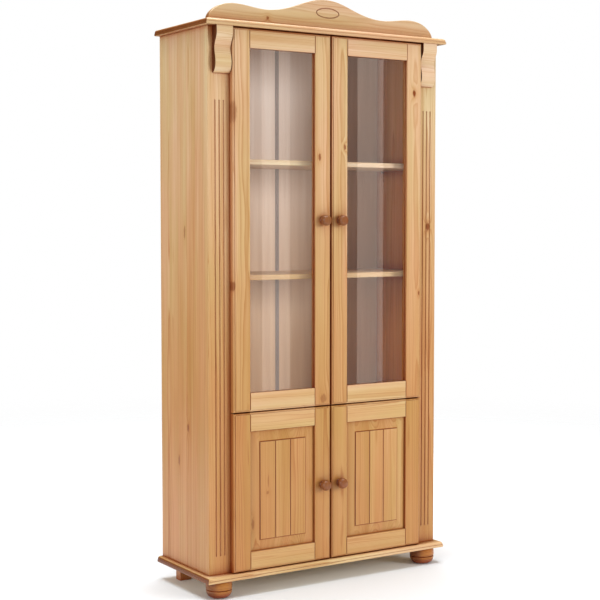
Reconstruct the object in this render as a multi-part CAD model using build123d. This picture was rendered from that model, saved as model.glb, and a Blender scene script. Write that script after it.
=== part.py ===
from build123d import *
import os
from math import asin, cos, radians, sin

# Sizes in millimetres. X runs across the front, Y towards the back, Z up from the floor.
# Carcass
carcass_width = 880.0
carcass_depth = 316.0
carcass_height = 1690.0
side_thickness = 19.0
shelf_thickness = 16.0
fixed_shelf_thickness = 19.0
slab_thickness = 19.0
slab_side_overhang = 19.0
slab_front_overhang = 30.0
slab_lip_height = 8.0
slab_step = 1.5
slab_round = 9.0
slab_lower_round = 2.5

# Pilasters and their flutes
pilaster_width = 95.0
pilaster_thickness = 19.0
pilaster_corner_round = 2.5
flute_count = 3
flute_pitch = 15.0
flute_radius = 2.6
flute_depth = 2.0
flute_centre_from_edge = 40.0
flute_bottom_margin = 58.0
flute_top_margin = 223.0

# Corbels at the pilaster heads
corbel_width = 56.0
corbel_outer_margin = 18.0
corbel_reach = 27.0
corbel_height = 142.0
corbel_flat = 20.0
corbel_shoulder_drop = 42.0
corbel_shoulder_reach = 20.5
corbel_waist_drop = 60.0
corbel_waist_reach = 12.8
corbel_belly_drop = 101.0
corbel_belly_reach = 17.8
corbel_toe_reach = 3.5

# Crown board with its scalloped top edge
crown_thickness = 18.0
crown_set_back = 11.0
crown_half_width = 431.0
crown_peak = 95.0
crown_flank_x = 110.0
crown_flank = 69.0
crown_valley_x = 228.0
crown_valley = 46.5
crown_lobe_x = 338.0
crown_lobe = 56.5
crown_lobe_side_x = 412.0
crown_lobe_side = 33.0
crown_edge_round = 2.0
oval_width = 90.0
oval_height = 34.0
oval_groove = 4.0
oval_groove_depth = 1.6
oval_centre_height = 53.0
oval_right_of_middle = 6.0

# Feet
foot_height = 53.5
bun_radius = 41.5
bun_top_radius = 39.0
bun_belly_height = 37.0
bun_lip_radius = 40.7
bun_groove_radius = 38.0
bun_groove_height = 26.0
bun_groove_half = 2.0
bun_bowl_radius = 37.0
bun_bowl_height = 10.0
bun_base_radius = 25.0
bun_set_back = 12.7
bun_from_side = 41.0
spigot_radius = 7.5
spigot_length = 12.0
rear_foot_width = 41.0
rear_foot_depth = 31.0
rear_foot_from_side = 27.0
rear_foot_from_back = 42.0
rear_foot_round = 1.5

# Back
back_thickness = 3.0
back_inset = 1.2
back_lap = 8.0
strip_width = 14.0
strip_flange = 0.8
strip_web = 1.2
fit_gap = 0.3
close_gap = 0.1

# Doors
door_thickness = 20.0
door_back_gap = 1.2
door_meeting_gap = 5.0
door_overlay = 18.0
door_bottom_gap = 2.5
door_split_gap = 2.5
door_top_gap = 3.0
split_height = 502.7
stile_width = 60.0
rail_width = 59.0
edge_moulding = 6.0
edge_step = 1.5
edge_round = 4.4
joint_groove = 1.6
opening_chamfer = 1.0
tenon_length = 25.0
tenon_thickness = 7.0
tenon_margin = 11.0
tenon_gap = 0.15

# Glass and its beads
glass_thickness = 4.0
glass_setback = 10.0
glass_lap = 8.0
glass_gap = 1.0
bead_gap = 0.2

# Raised panels of the lower doors
panel_setback = 9.0
panel_tongue = 6.0
panel_lap = 9.0
panel_gap = 1.0
panel_bevel = 36.0
field_setback = 1.5
field_shoulder = 2.2
field_groove = 1.8
field_boards = 3

# Knobs
knob_radius = 17.5
knob_reach = 33.0
knob_ball_centre = 18.5
knob_foot_radius = 11.5
knob_neck_radius = 9.5
knob_neck_at = 6.0
knob_waist_angle = radians(33)
knob_brow_angle = radians(44)
upper_knob_height = 1100.0
lower_knob_height = 248.0
knob_screw_radius = 2.0
knob_screw_bite = 14.0
knob_screw_head_radius = 4.2
knob_screw_head = 2.4
knob_screw_gap = 0.3

# Concealed hinges
cup_radius = 17.4
cup_depth = 11.0
cup_wall = 1.3
cup_rim_radius = 19.5
cup_rim = 1.0
cup_gap = 0.2
cup_from_edge = 22.5
hinge_end_distance = 100.0
lower_hinge_end_distance = 80.0
upper_hinge_count = 3
lower_hinge_count = 2
arm_width = 9.5
arm_plate = 2.5
arm_plate_height = 44.0
arm_nose_height = 14.0
arm_nose_root = 13.0
arm_nose_gap = 0.35
arm_nose_round = 2.0
arm_side_gap = 1.0
hinge_screw_radius = 1.6
hinge_screw_offset = 15.0
hinge_screw_length = 15.0
hinge_screw_head_radius = 3.2
hinge_screw_head = 1.5

# Shelves and their pins
shelf_tops = [255.0, 928.0, 1290.0]
shelf_side_gap = 0.8
shelf_front_gap = 3.0
shelf_back_gap = 2.0
shelf_edge_round = 2.0
pin_radius = 2.4
pin_hole_depth = 12.0
pin_sleeve_radius = 3.5
pin_sleeve_length = 9.0
pin_row_inset = 40.0
pin_spacing = 32.0

# Rail under the top board
top_rail_height = 40.0

# How far a cut runs past a face, and how closely an edge is picked
past = 1.0
near = 0.1

# Derived planes
overall_depth = carcass_depth + door_back_gap + door_thickness + knob_reach
y_back = overall_depth / 2
y_face = y_back - carcass_depth
y_door_back = y_face - door_back_gap
y_door_face = y_door_back - door_thickness
z_base_bottom = foot_height
z_floor_board = foot_height + slab_thickness
z_ceiling = z_floor_board + carcass_height
z_top = z_ceiling + slab_thickness
half_width = carcass_width / 2
half_inside = half_width - side_thickness
pilaster_inner_x = half_width - pilaster_width
door_outer_x = pilaster_inner_x + door_overlay
door_inner_x = door_meeting_gap / 2
opening_inner_x = door_inner_x + stile_width
opening_outer_x = door_outer_x - stile_width
y_back_panel = y_back - back_inset - back_thickness
z_split = z_floor_board + split_height
upper_door = (z_split + door_split_gap / 2, z_ceiling - door_top_gap)
lower_door = (z_floor_board + door_bottom_gap, z_split - door_split_gap / 2)
knob_x = door_inner_x + stile_width / 2
cup_x = door_outer_x - cup_from_edge
z_fixed_shelf = z_split - fixed_shelf_thickness / 2


def block(x0, x1, y0, y1, z0, z1):
    """Box between two corners."""
    middle = ((x0 + x1) / 2, (y0 + y1) / 2, (z0 + z1) / 2)
    return Pos(*middle) * Box(x1 - x0, y1 - y0, z1 - z0)


def save(name, shape):
    """Write one sub-part, as one solid or as a group of separate solids."""
    solids = shape.solids() if hasattr(shape, "solids") else [s for p in shape for s in p.solids()]
    piece = solids[0] if len(solids) == 1 else Compound(children=list(solids))
    piece.label = name
    export_step(piece, f"parts/{name}.step")


def save_pair(name, right):
    """Write a right-hand piece and its mirror image on the left."""
    save(f"{name}_right", right)
    if isinstance(right, list):
        save(f"{name}_left", [mirror(p, about=Plane.YZ) for p in right])
    else:
        save(f"{name}_left", mirror(right, about=Plane.YZ))


def pin_heights(steps):
    """Heights along a pin row, counted in whole spacings from the pin that carries each shelf."""
    drop = shelf_thickness + pin_sleeve_radius
    return [z_floor_board + top - drop + step * pin_spacing for top in shelf_tops for step in steps]


pin_rows = [y_face + pilaster_thickness + pin_row_inset, y_back_panel - pin_row_inset]


def side_panel():
    """Right side panel with the back rebate and two rows of pin holes."""
    panel = block(half_inside, half_width, y_face + pilaster_thickness, y_back, z_floor_board, z_ceiling)
    panel -= block(half_inside - past, half_inside + back_lap, y_back_panel, y_back + past,
                   z_floor_board - past, z_ceiling + past)
    hole = Cylinder(pin_radius + close_gap, pin_hole_depth, rotation=(0, 90, 0))
    for y in pin_rows:
        for z in pin_heights((-1, 0, 1)):
            panel -= Pos(half_inside + pin_hole_depth / 2, y, z) * hole
    return panel


def shelf_pin_set():
    """Pins for all shelves on both sides: a peg in the hole and a sleeve under the shelf."""
    peg_length = pin_hole_depth - close_gap
    peg = Cylinder(pin_radius, peg_length, rotation=(0, 90, 0))
    sleeve = Cylinder(pin_sleeve_radius, pin_sleeve_length, rotation=(0, 90, 0))
    pin = Pos(peg_length / 2, 0, 0) * peg + Pos(-pin_sleeve_length / 2, 0, 0) * sleeve
    pins = []
    for y in pin_rows:
        for z in pin_heights((0,)):
            right = Pos(half_inside, y, z) * pin
            pins += [right, mirror(right, about=Plane.YZ)]
    return pins


def hinge_heights(door, end_distance, count):
    """Evenly spaced hinge heights on one door."""
    bottom = door[0] + end_distance
    step = (door[1] - door[0] - 2 * end_distance) / (count - 1)
    return [bottom + step * i for i in range(count)]


upper_hinges = hinge_heights(upper_door, hinge_end_distance, upper_hinge_count)
lower_hinges = hinge_heights(lower_door, lower_hinge_end_distance, lower_hinge_count)


def pilaster():
    """Right pilaster: a wide front post with stopped flutes and pilot holes for the hinge screws."""
    post = block(pilaster_inner_x, half_width, y_face, y_face + pilaster_thickness, z_floor_board, z_ceiling)
    corner = [e for e in post.edges().filter_by(Axis.Z)
              if e.center().X > half_width - near and e.center().Y < y_face + near]
    post = fillet(corner, pilaster_corner_round)
    low = z_floor_board + flute_bottom_margin + flute_radius
    high = z_ceiling - flute_top_margin - flute_radius
    for i in range(flute_count):
        x = half_width - flute_centre_from_edge + (i - (flute_count - 1) / 2) * flute_pitch
        y = y_face - flute_radius + flute_depth
        post -= Pos(x, y, (low + high) / 2) * Cylinder(flute_radius, high - low)
        for z in (low, high):
            post -= Pos(x, y, z) * Sphere(flute_radius)
    for z in upper_hinges + lower_hinges:
        for side in (-1, 1):
            post -= hinge_bore(z + side * hinge_screw_offset)
    return post


def hinge_bore(z):
    """Bore for one hinge screw, through the arm's plate and into the pilaster's inner edge."""
    length = hinge_screw_length + fit_gap
    hole = Cylinder(hinge_screw_radius, length, rotation=(0, 90, 0))
    x = pilaster_inner_x - arm_plate + length / 2
    return Pos(x, y_face + pilaster_thickness / 2, z) * hole


def hinge_screw(z):
    """Screw that holds a hinge arm: a flat head on the plate and a shank in the pilaster."""
    x_plate = pilaster_inner_x - arm_plate
    y = y_face + pilaster_thickness / 2
    shank = Cylinder(hinge_screw_radius, hinge_screw_length, rotation=(0, 90, 0))
    head = Cylinder(hinge_screw_head_radius, hinge_screw_head, rotation=(0, 90, 0))
    screw = Pos(x_plate + hinge_screw_length / 2, y, z) * shank
    return screw + Pos(x_plate - hinge_screw_head / 2, y, z) * head


def corbel():
    """Right corbel: a flat face that sweeps in to a waist, then a rounded belly down to a narrow toe."""
    def at(reach, drop):
        return Vector(0, y_face - reach, z_ceiling - drop)
    top_back = at(0, 0)
    top_front = at(corbel_reach, 0)
    flat_end = at(corbel_reach, corbel_flat)
    shoulder = at(corbel_shoulder_reach, corbel_shoulder_drop)
    waist = at(corbel_waist_reach, corbel_waist_drop)
    belly = at(corbel_belly_reach, corbel_belly_drop)
    toe_front = at(corbel_toe_reach, corbel_height)
    toe_back = at(0, corbel_height)
    outline = Wire([
        Line(top_back, top_front),
        Line(top_front, flat_end),
        Spline([flat_end, shoulder, waist, belly, toe_front], tangents=[(0, 0, -1), (0, 1, -0.7)]),
        Line(toe_front, toe_back),
        Line(toe_back, top_back),
    ])
    shape = extrude(Face(outline), amount=corbel_width, dir=(1, 0, 0))
    return Pos(half_width - corbel_outer_margin - corbel_width, 0, 0) * shape


def moulded_slab(z_bottom):
    """Board with an overhang at the front and sides: a lip below and a rounded step above it."""
    x = half_width + slab_side_overhang
    y = y_face - slab_front_overhang
    lip = block(-x, x, y, y_back, z_bottom, z_bottom + slab_lip_height)
    lip = fillet([e for e in lip.edges() if e.center().Z < z_bottom + near and e.center().Y < y_back - near],
                 slab_lower_round)
    z_high = z_bottom + slab_thickness
    cap = block(-x + slab_step, x - slab_step, y + slab_step, y_back, z_bottom + slab_lip_height, z_high)
    cap = fillet([e for e in cap.edges() if e.center().Z > z_high - near and e.center().Y < y_back - near],
                 slab_round)
    return lip + cap


def base_board():
    """Base board with blind holes for the spigots of the front feet."""
    board = moulded_slab(z_base_bottom)
    for side in (-1, 1):
        hole = Cylinder(spigot_radius + close_gap, spigot_length + fit_gap)
        board -= Pos(side * bun_x, bun_y, z_base_bottom + (spigot_length + fit_gap) / 2) * hole
    return board


bun_x = half_width - bun_from_side
bun_y = y_face + bun_set_back


def bun_foot():
    """Right front foot: a turned bun with a ring groove and a bowl below it."""
    def at(radius, height):
        return Vector(radius, 0, height)
    centre = at(0, 0)
    base = at(bun_base_radius, 0)
    bowl = at(bun_bowl_radius, bun_bowl_height)
    groove_low = at(bun_lip_radius, bun_groove_height - bun_groove_half)
    groove = at(bun_groove_radius, bun_groove_height)
    groove_high = at(bun_lip_radius, bun_groove_height + bun_groove_half)
    belly = at(bun_radius, bun_belly_height)
    top = at(bun_top_radius, foot_height)
    spigot_foot = at(spigot_radius, foot_height)
    spigot_end = at(spigot_radius, foot_height + spigot_length)
    spigot_centre = at(0, foot_height + spigot_length)
    profile = Wire([
        Line(centre, base),
        ThreePointArc(base, bowl, groove_low),
        Line(groove_low, groove),
        Line(groove, groove_high),
        ThreePointArc(groove_high, belly, top),
        Line(top, spigot_foot),
        Line(spigot_foot, spigot_end),
        Line(spigot_end, spigot_centre),
        Line(spigot_centre, centre),
    ])
    return Pos(bun_x, bun_y, 0) * revolve(Face(profile), Axis.Z)


def rear_foot():
    """Right rear foot: a plain block."""
    x1 = half_width - rear_foot_from_side
    y1 = y_back - rear_foot_from_back
    foot = block(x1 - rear_foot_width, x1, y1 - rear_foot_depth, y1, 0, foot_height)
    return fillet(foot.edges().filter_by(Axis.Z), rear_foot_round)


def crown_board():
    """Crown board with a scalloped top edge and an engraved oval ring."""
    y = y_face + crown_set_back
    def at(x, height):
        return Vector(x, y, z_top + height)
    right = Spline(
        [at(0, crown_peak), at(crown_flank_x, crown_flank), at(crown_valley_x, crown_valley),
         at(crown_lobe_x, crown_lobe), at(crown_lobe_side_x, crown_lobe_side), at(crown_half_width, 0)],
        tangents=[(1, 0, 0), (-0.1, 0, -1)],
    )
    left = mirror(right, about=Plane.YZ)
    base = Line(at(-crown_half_width, 0), at(crown_half_width, 0))
    outline = Wire([left.edge(), right.edge(), base.edge()])
    board = extrude(Face(outline), amount=crown_thickness, dir=(0, 1, 0))
    rim = [e for e in board.edges() if e.center().Z > z_top + near and abs(e.center().Y - y) < near
           and e.length > crown_thickness + near]
    board = fillet(rim, crown_edge_round)
    oval_centre = (oval_right_of_middle, y, z_top + oval_centre_height)
    oval_plane = Plane(origin=oval_centre, x_dir=(1, 0, 0), z_dir=(0, -1, 0))
    ring = Ellipse(oval_width / 2, oval_height / 2)
    ring -= Ellipse(oval_width / 2 - oval_groove, oval_height / 2 - oval_groove)
    return board - extrude(oval_plane * ring, amount=oval_groove_depth, both=True)


def back_panel():
    """Right half of the thin back, from the side rebate to the joint strip."""
    return block(strip_web / 2 + fit_gap, half_inside + back_lap - fit_gap, y_back_panel,
                 y_back_panel + back_thickness, z_floor_board + fit_gap, z_ceiling - fit_gap)


def joint_strip():
    """H-shaped strip that joins the two back panels."""
    z0 = z_floor_board + fit_gap
    z1 = z_ceiling - fit_gap
    front = y_back_panel - close_gap
    rear = y_back_panel + back_thickness + close_gap
    half = strip_width / 2
    strip = block(-half, half, front - strip_flange, front, z0, z1)
    strip += block(-half, half, rear, rear + strip_flange, z0, z1)
    strip += block(-strip_web / 2, strip_web / 2, front - strip_flange / 2, rear + strip_flange / 2, z0, z1)
    return strip


def fixed_shelf():
    """Fixed middle shelf, notched round the pilasters so that its front edge stops both door pairs."""
    y_rear = y_back_panel - strip_flange - fit_gap
    z1 = z_fixed_shelf + fixed_shelf_thickness
    shelf = block(-half_inside, half_inside, y_face + pilaster_thickness, y_rear, z_fixed_shelf, z1)
    return shelf + block(-pilaster_inner_x, pilaster_inner_x, y_face, y_face + pilaster_thickness,
                         z_fixed_shelf, z1)


def loose_shelf(top):
    """Shelf on pins, its front edges lightly rounded."""
    x = half_inside - shelf_side_gap
    y0 = y_face + pilaster_thickness + shelf_front_gap
    z1 = z_floor_board + top
    shelf = block(-x, x, y0, y_back_panel - shelf_back_gap, z1 - shelf_thickness, z1)
    front = [e for e in shelf.edges().filter_by(Axis.X) if e.center().Y < y0 + near]
    return fillet(front, shelf_edge_round)


def top_rail():
    """Rail between the pilasters under the top board, a stop for the upper doors."""
    return block(-pilaster_inner_x, pilaster_inner_x, y_face, y_face + pilaster_thickness,
                 z_ceiling - top_rail_height, z_ceiling)


def wedge(x, z0, z1, half, y_top):
    """V cut along Z in a front face."""
    y_open = y_top - near
    outline = Polyline((x - half - near, y_open, z0), (x + half + near, y_open, z0), (x, y_top + half, z0),
                       close=True)
    return extrude(Face(Wire(outline.edges())), amount=z1 - z0, dir=(0, 0, 1))


def door_slab(z0, z1):
    """Blank of a right-hand door: stepped edge moulding, chamfered opening and grooves at the joints."""
    x0 = door_inner_x
    x1 = door_outer_x
    m = edge_moulding
    low = z0 + rail_width
    high = z1 - rail_width
    slab = block(x0, x1, y_door_face + edge_step, y_door_back, z0, z1)
    front = [e for e in slab.edges() if abs(e.center().Y - y_door_face - edge_step) < near]
    slab = fillet(front, edge_round)
    slab += block(x0 + m, x1 - m, y_door_face, y_door_face + edge_step, z0 + m, z1 - m)
    slab -= block(opening_inner_x, opening_outer_x, y_door_face - past, y_door_back + past, low, high)
    inner = [e for e in slab.edges() if abs(e.center().Y - y_door_face) < near
             and opening_inner_x - near < e.center().X < opening_outer_x + near
             and low - near < e.center().Z < high + near]
    slab = chamfer(inner, opening_chamfer)
    for x in (opening_inner_x, opening_outer_x):
        slab -= wedge(x, z0 + m, low + opening_chamfer, joint_groove, y_door_face)
        slab -= wedge(x, high - opening_chamfer, z1 - m, joint_groove, y_door_face)
    return slab


def door_frame(z0, z1, lap, y_slot):
    """Two stiles with mortises and two rails with tenons, slotted or rebated for what they hold."""
    low = z0 + rail_width
    high = z1 - rail_width
    slab = door_slab(z0, z1)
    slab -= block(opening_inner_x - lap, opening_outer_x + lap, *y_slot, low - lap, high + lap)
    y_mid = y_door_face + door_thickness / 2
    half = tenon_thickness / 2
    g = tenon_gap
    pieces = {}
    rails = {"bottom_rail": (z0, low), "top_rail": (high, z1)}
    mortises = [block(end, end + tenon_length + g, y_mid - half - g, y_mid + half + g,
                      r0 + tenon_margin - g, r1 - tenon_margin + g)
                for r0, r1 in rails.values()
                for end in (opening_inner_x - tenon_length - g, opening_outer_x)]
    stiles = {"meeting_stile": (door_inner_x, opening_inner_x),
              "hinge_stile": (opening_outer_x, door_outer_x)}
    for name, (a, b) in stiles.items():
        pieces[name] = slab & block(a, b, y_door_face - past, y_door_back, z0 - past, z1 + past)
        for mortise in mortises:
            pieces[name] -= mortise
    for name, (r0, r1) in rails.items():
        rail = slab & block(opening_inner_x, opening_outer_x, y_door_face - past, y_door_back, r0, r1)
        pieces[name] = rail + block(opening_inner_x - tenon_length, opening_outer_x + tenon_length,
                                    y_mid - half, y_mid + half, r0 + tenon_margin, r1 - tenon_margin)
    return pieces


def door_pieces(door, hinges, is_glazed, knob_z):
    """All pieces of one right-hand door, by name."""
    z0, z1 = door
    low = z0 + rail_width
    high = z1 - rail_width
    y_glass = y_door_face + glass_setback
    y_panel = y_door_face + panel_setback
    if is_glazed:
        pieces = door_frame(z0, z1, glass_lap, (y_glass, y_door_back + past))
        lap = glass_lap - glass_gap
        pieces["glass"] = block(opening_inner_x - lap, opening_outer_x + lap, y_glass,
                                y_glass + glass_thickness, low - lap, high + lap)
        pieces["glazing_beads"] = glazing_beads(low, high)
    else:
        pieces = door_frame(z0, z1, panel_lap, (y_panel - close_gap, y_panel + panel_tongue + close_gap))
        pieces["raised_panel"] = raised_panel(low, high)
    pieces["meeting_stile"] -= bore(knob_x, knob_z, knob_screw_radius + knob_screw_gap)
    pieces["knob"] = turned_knob(knob_z)
    pieces["knob_screw"] = knob_screw(knob_z)
    pieces["hinge_cups"] = [hinge_cup(z) for z in hinges]
    for z in hinges:
        pieces["hinge_stile"] -= cup_seat(z)
    return pieces


def bore(x, z, radius):
    """Hole through a door along Y."""
    hole = Cylinder(radius, door_thickness + 2 * past, rotation=(90, 0, 0))
    return Pos(x, (y_door_face + y_door_back) / 2, z) * hole


def glazing_beads(low, high):
    """Four mitred beads that hold the glass in its rebate."""
    x_in = (opening_inner_x, opening_outer_x)
    g = bead_gap
    x_out = (opening_inner_x - glass_lap + g, opening_outer_x + glass_lap - g)
    z_out = (low - glass_lap + g, high + glass_lap - g)
    y0 = y_door_face + glass_setback + glass_thickness
    corners_out = [(x_out[0], z_out[0]), (x_out[1], z_out[0]), (x_out[1], z_out[1]), (x_out[0], z_out[1])]
    corners_in = [(x_in[0], low), (x_in[1], low), (x_in[1], high), (x_in[0], high)]
    beads = []
    for i in range(4):
        j = (i + 1) % 4
        ring = [corners_out[i], corners_out[j], corners_in[j], corners_in[i]]
        outline = Polyline(*[(x, y0, z) for x, z in ring], close=True)
        beads.append(extrude(Face(Wire(outline.edges())), amount=y_door_back - y0, dir=(0, 1, 0)))
    return beads


def raised_panel(low, high):
    """Panel with a tongue all round, a bevelled margin, a raised field and grooves between its boards."""
    tongue = panel_lap - panel_gap
    y_tongue = y_door_face + panel_setback
    y_field = y_door_face + field_setback
    y_bevel = y_field + field_shoulder
    panel = block(opening_inner_x - tongue, opening_outer_x + tongue, y_tongue, y_tongue + panel_tongue,
                  low - tongue, high + tongue)
    x_mid = (opening_inner_x + opening_outer_x) / 2
    z_mid = (low + high) / 2
    width = opening_outer_x - opening_inner_x - 2 * fit_gap
    height = high - low - 2 * fit_gap
    field_width = width - 2 * panel_bevel
    field_height = height - 2 * panel_bevel
    foot = Plane(origin=(x_mid, y_tongue, z_mid), x_dir=(1, 0, 0), z_dir=(0, -1, 0))
    brow = Plane(origin=(x_mid, y_bevel, z_mid), x_dir=(1, 0, 0), z_dir=(0, -1, 0))
    panel += loft([foot * Rectangle(width, height), brow * Rectangle(field_width, field_height)], ruled=True)
    panel += block(x_mid - field_width / 2, x_mid + field_width / 2, y_field, y_bevel,
                   z_mid - field_height / 2, z_mid + field_height / 2)
    for i in range(1, field_boards):
        x = x_mid - field_width / 2 + field_width * i / field_boards
        panel -= wedge(x, z_mid - field_height / 2 - past, z_mid + field_height / 2 + past,
                       field_groove, y_field)
    return panel


def turned_knob(z):
    """Turned knob: a foot on the door, a waist and a ball with a slightly flattened front."""
    r = knob_radius
    c = knob_ball_centre
    tip = knob_reach
    waist = (r * cos(knob_waist_angle), c - r * sin(knob_waist_angle))
    brow = (r * cos(knob_brow_angle), c + r * sin(knob_brow_angle))
    rise = tip - brow[1]
    cap_radius = (brow[0] ** 2 + rise ** 2) / (2 * rise)
    half_angle = asin(brow[0] / cap_radius) / 2
    cap_middle = (cap_radius * sin(half_angle), tip - cap_radius * (1 - cos(half_angle)))
    profile = Wire([
        Line((knob_screw_radius, 0, 0), (knob_foot_radius, 0, 0)),
        Spline([(knob_foot_radius, 0, 0), (knob_neck_radius, 0, knob_neck_at), (waist[0], 0, waist[1])]),
        ThreePointArc((waist[0], 0, waist[1]), (r, 0, c), (brow[0], 0, brow[1])),
        ThreePointArc((brow[0], 0, brow[1]), (cap_middle[0], 0, cap_middle[1]), (0, 0, tip)),
        Line((0, 0, tip), (0, 0, knob_screw_bite)),
        Line((0, 0, knob_screw_bite), (knob_screw_radius, 0, knob_screw_bite)),
        Line((knob_screw_radius, 0, knob_screw_bite), (knob_screw_radius, 0, 0)),
    ])
    knob = revolve(Face(profile), Axis.Z)
    return Pos(knob_x, y_door_face, z) * Rot(90, 0, 0) * knob


def knob_screw(z):
    """Screw through the stile into the knob, its head on the inside."""
    shank_length = door_thickness + knob_screw_bite - fit_gap
    shank = Cylinder(knob_screw_radius, shank_length, rotation=(90, 0, 0))
    head = Cylinder(knob_screw_head_radius, knob_screw_head, rotation=(90, 0, 0))
    screw = Pos(knob_x, y_door_back - shank_length / 2, z) * shank
    return screw + Pos(knob_x, y_door_back + knob_screw_head / 2, z) * head


def disc(radius, y0, y1, z):
    """Cylinder along Y at a hinge cup."""
    return Pos(cup_x, (y0 + y1) / 2, z) * Cylinder(radius, y1 - y0, rotation=(90, 0, 0))


def hinge_cup(z):
    """Open cup let into the back of the door, with a flush rim."""
    cup = disc(cup_radius, y_door_back - cup_depth, y_door_back, z)
    cup += disc(cup_rim_radius, y_door_back - cup_rim, y_door_back, z)
    return cup - disc(cup_radius - cup_wall, y_door_back - cup_depth + cup_wall, y_door_back + past, z)


def cup_seat(z):
    """Bore in the stile for one hinge cup."""
    seat = disc(cup_radius + cup_gap, y_door_back - cup_depth - cup_gap, y_door_back + past, z)
    return seat + disc(cup_rim_radius + cup_gap, y_door_back - cup_rim - cup_gap, y_door_back + past, z)


def hinge_arm(z):
    """Arm screwed to the pilaster's inner edge, its nose reaching into the cup."""
    x1 = pilaster_inner_x
    half = arm_plate_height / 2
    nose_half = arm_nose_height / 2
    y0 = y_face + arm_side_gap
    y1 = y_face + pilaster_thickness - arm_side_gap
    y_tip = y_door_back - cup_depth + cup_wall + arm_nose_gap
    nose = block(x1 - arm_plate - arm_width, x1 - arm_plate, y_tip, y_face + arm_nose_root,
                 z - nose_half, z + nose_half)
    tip = [e for e in nose.edges().filter_by(Axis.Z) if e.center().X < x1 - arm_plate - near]
    nose = fillet(tip, arm_nose_round)
    arm = nose + block(x1 - arm_plate, x1, y0, y1, z - half, z + half)
    for side in (-1, 1):
        arm -= hinge_bore(z + side * hinge_screw_offset)
    return arm


def build_carcass():
    """Everything that stands still."""
    save_pair("side_panel", side_panel())
    save_pair("pilaster", pilaster())
    save_pair("corbel", corbel())
    save_pair("front_foot", bun_foot())
    save_pair("rear_foot", rear_foot())
    save_pair("back_panel", back_panel())
    save("back_joint_strip", joint_strip())
    save("top_board", moulded_slab(z_ceiling))
    save("base_board", base_board())
    save("crown_board", crown_board())
    save("fixed_shelf", fixed_shelf())
    save("front_top_rail", top_rail())
    for name, top in zip(("cupboard_shelf", "lower_shelf", "upper_shelf"), shelf_tops):
        save(name, loose_shelf(top))
    save("shelf_pins", shelf_pin_set())
    hinges = upper_hinges + lower_hinges
    save_pair("hinge_arms", [hinge_arm(z) for z in hinges])
    screws = [hinge_screw(z + side * hinge_screw_offset) for z in hinges for side in (-1, 1)]
    save("hinge_screws", screws + [mirror(s, about=Plane.YZ) for s in screws])


def build_doors():
    """Two glazed doors above two panelled doors."""
    upper = door_pieces(upper_door, upper_hinges, True, z_floor_board + upper_knob_height)
    lower = door_pieces(lower_door, lower_hinges, False, z_floor_board + lower_knob_height)
    for level, pieces in (("upper", upper), ("lower", lower)):
        for name, shape in pieces.items():
            save_pair(f"{level}_{name}", shape)


os.makedirs("parts", exist_ok=True)
build_carcass()
build_doors()
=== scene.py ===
import random
from math import asin, cos, pi, radians, sin

import bmesh
import bpy
from mathutils import Matrix, Vector


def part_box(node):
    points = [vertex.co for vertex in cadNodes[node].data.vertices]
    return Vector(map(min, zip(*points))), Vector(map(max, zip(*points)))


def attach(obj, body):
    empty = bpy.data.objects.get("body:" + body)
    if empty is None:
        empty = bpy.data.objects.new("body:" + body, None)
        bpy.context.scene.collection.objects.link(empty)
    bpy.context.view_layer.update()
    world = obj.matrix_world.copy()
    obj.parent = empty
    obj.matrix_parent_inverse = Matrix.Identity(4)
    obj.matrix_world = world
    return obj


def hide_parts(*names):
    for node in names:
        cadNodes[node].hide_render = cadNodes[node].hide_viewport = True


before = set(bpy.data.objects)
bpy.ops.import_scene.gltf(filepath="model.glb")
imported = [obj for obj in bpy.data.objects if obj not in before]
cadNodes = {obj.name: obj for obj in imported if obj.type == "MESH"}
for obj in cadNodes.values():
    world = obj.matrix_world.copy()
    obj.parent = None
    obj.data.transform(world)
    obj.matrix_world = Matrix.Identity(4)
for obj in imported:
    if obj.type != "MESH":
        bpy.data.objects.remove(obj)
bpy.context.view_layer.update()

# Camera at the photo's view, without shift
cameraSetup = {
    "place": (-2.4467, -3.7624, 1.1671),
    "turnDegrees": -32.80,
    "dipDegrees": 3.29,
    "lens": 81.37,
    "sensorWidth": 36.0,
}

# Soft studio light: places and sizes in metres, power in watts
lightSetup = {
    "keySoftbox": {"place": (3.86, -5.33, 2.2), "aim": (0.0, -0.1, 0.9), "size": (2.2, 2.2), "watts": 216,
                   "tint": (1.0, 1.0, 1.0), "mirrored": False},
    "leftSoftbox": {"place": (-5.2, -1.3, 1.9), "aim": (-0.44, 0.0, 0.95), "size": (2.0, 2.6), "watts": 92,
                    "tint": (1.0, 1.0, 1.0)},
    "overheadSoftbox": {"place": (0.0, 0.6, 5.6), "aim": (0.0, 0.61, 0.0), "size": (4.0, 4.0), "watts": 400,
                        "tint": (0.91, 0.96, 1.0)},
    "windowLeft": {"place": (1.88, -3.5, 1.2), "aim": (1.88, 0.0, 1.2), "size": (0.20, 3.2), "watts": 2.35,
                   "tint": (1.0, 0.87, 0.76)},
    "windowRight": {"place": (2.58, -3.5, 1.2), "aim": (2.58, 0.0, 1.2), "size": (0.20, 3.2), "watts": 3.0,
                    "tint": (1.0, 0.85, 0.72)},
}
worldSetup = {"seen": 1.0, "mirrored": 0.05, "lighting": 0.46, "warmth": (1.0, 0.87, 0.74, 1.0)}
floorSetup = {"radius": 6.0, "plainRadius": 1.4, "fadeRadius": 4.8, "drop": 0.0004,
              "tone": (0.84, 0.87, 0.90, 1.0), "roughness": 0.9, "gloss": 0.1}


# A colour as a screen shows it, in the renderer's own linear values
def fromScreen(red, green, blue):
    parts = [value / 255 for value in (red, green, blue)]
    return tuple(p / 12.92 if p <= 0.04045 else ((p + 0.055) / 1.055) ** 2.4 for p in parts) + (1.0,)


def plug(tree, made, values):
    for key, value in values.items():
        socket = made.inputs[key]
        if isinstance(value, bpy.types.NodeSocket):
            tree.links.new(value, socket)
        else:
            socket.default_value = value


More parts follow.
